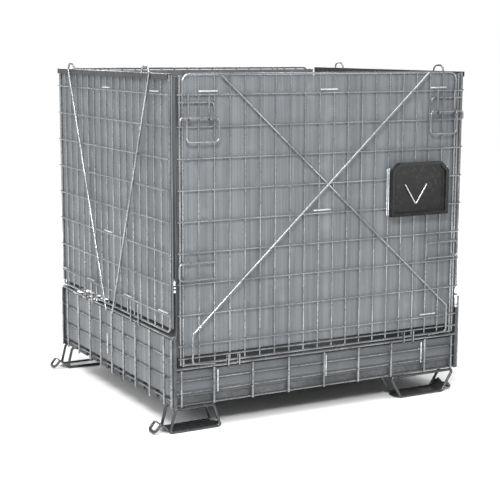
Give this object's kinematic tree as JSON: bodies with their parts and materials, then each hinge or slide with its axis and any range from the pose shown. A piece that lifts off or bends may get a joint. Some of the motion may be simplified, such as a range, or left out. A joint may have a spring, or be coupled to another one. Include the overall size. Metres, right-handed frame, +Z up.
{
  "type": "wire mesh container",
  "caption": "Stackable steel wire mesh container with a lined inside, four walls that fold down inwards, swinging latches, a corrugated floor and runner feet for forks.",
  "frame": {"origin": "on the ground, at the middle of the whole container's outline", "axes": "+Z up; +X to the right of someone facing the front gate; the front gate with the label holder is towards -Y"},
  "size_m": [1.218, 1.0679, 1.1745],
  "materials": {
    "zinc_wire": "bright zinc plate",
    "zinc_sheet": "dull zinc plate",
    "liner_sheet": "fine ribbed",
    "label_plastic": "fine grained",
    "dark_strip": "matte"
  },
  "bodies": {
    "base": {"bottom_rails": "zinc_sheet", "corner_posts": "zinc_sheet", "floor_ribs": "zinc_sheet", "floor_sheet": "zinc_sheet", "foot_front_left_sole": "zinc_sheet", "foot_front_left_wires": "zinc_wire", "foot_front_right_sole": "zinc_sheet", "foot_front_right_wires": "zinc_wire", "foot_rear_left_sole": "zinc_sheet", "foot_rear_left_wires": "zinc_wire", "foot_rear_right_sole": "zinc_sheet", "foot_rear_right_wires": "zinc_wire", "lower_front_liner": "liner_sheet", "lower_front_mesh": "zinc_wire", "lower_left_liner": "liner_sheet", "lower_left_mesh": "zinc_wire", "lower_liner_staples": "zinc_wire", "lower_rear_liner": "liner_sheet", "lower_rear_mesh": "zinc_wire", "lower_right_liner": "liner_sheet", "lower_right_mesh": "zinc_wire"},
    "front_gate": {"front_gate_braces": "zinc_wire", "front_gate_frame": "zinc_wire", "front_gate_hinge_links": "zinc_wire", "front_gate_latch_hangers": "zinc_wire", "front_gate_liner": "liner_sheet", "front_gate_liner_staples": "zinc_wire", "front_gate_mesh": "zinc_wire", "front_gate_mid_hooks": "zinc_wire", "front_gate_seal_strips": "dark_strip", "label_holder": "label_plastic", "label_spring": "zinc_wire"},
    "rear_wall": {"rear_wall_braces": "zinc_wire", "rear_wall_frame": "zinc_wire", "rear_wall_hinge_links": "zinc_wire", "rear_wall_latch_hangers": "zinc_wire", "rear_wall_liner": "liner_sheet", "rear_wall_liner_staples": "zinc_wire", "rear_wall_mesh": "zinc_wire", "rear_wall_seal_strips": "dark_strip"},
    "left_wall": {"left_wall_braces": "zinc_wire", "left_wall_frame": "zinc_wire", "left_wall_hinge_links": "zinc_wire", "left_wall_liner": "liner_sheet", "left_wall_liner_staples": "zinc_wire", "left_wall_mesh": "zinc_wire", "left_wall_rim": "zinc_sheet"},
    "right_wall": {"right_wall_braces": "zinc_wire", "right_wall_frame": "zinc_wire", "right_wall_hinge_links": "zinc_wire", "right_wall_liner": "liner_sheet", "right_wall_liner_staples": "zinc_wire", "right_wall_mesh": "zinc_wire", "right_wall_rim": "zinc_sheet"},
    "front_left_latch": {"front_gate_left_latch": "zinc_wire"},
    "front_right_latch": {"front_gate_right_latch": "zinc_wire"},
    "rear_left_latch": {"rear_wall_left_latch": "zinc_wire"},
    "rear_right_latch": {"rear_wall_right_latch": "zinc_wire"}
  },
  "joints": [
    {"name": "front_gate_fold", "type": "hinge", "parent": "base", "child": "front_gate", "pos_m": [0.02495, -0.503, 0.209], "axis": [-1, 0, 0], "range_deg": [0, 90]},
    {"name": "rear_wall_fold", "type": "hinge", "parent": "base", "child": "rear_wall", "pos_m": [0.02495, 0.503, 0.255], "axis": [1, 0, 0], "range_deg": [0, 90]},
    {"name": "left_wall_fold", "type": "hinge", "parent": "base", "child": "left_wall", "pos_m": [-0.54305, 0, 0.314], "axis": [0, 1, 0], "range_deg": [0, 90]},
    {"name": "right_wall_fold", "type": "hinge", "parent": "base", "child": "right_wall", "pos_m": [0.59295, 0, 0.352], "axis": [0, -1, 0], "range_deg": [0, 90]},
    {"name": "front_left_latch_swing", "type": "hinge", "parent": "front_gate", "child": "front_left_latch", "pos_m": [-0.44305, -0.523, 1.016], "axis": [-1, 0, 0], "range_deg": [0, 175]},
    {"name": "front_right_latch_swing", "type": "hinge", "parent": "front_gate", "child": "front_right_latch", "pos_m": [0.49295, -0.523, 1.016], "axis": [-1, 0, 0], "range_deg": [0, 175]},
    {"name": "rear_left_latch_swing", "type": "hinge", "parent": "rear_wall", "child": "rear_left_latch", "pos_m": [-0.44305, 0.523, 1.016], "axis": [1, 0, 0], "range_deg": [0, 175]},
    {"name": "rear_right_latch_swing", "type": "hinge", "parent": "rear_wall", "child": "rear_right_latch", "pos_m": [0.49295, 0.523, 1.016], "axis": [1, 0, 0], "range_deg": [0, 175]}
  ]
}
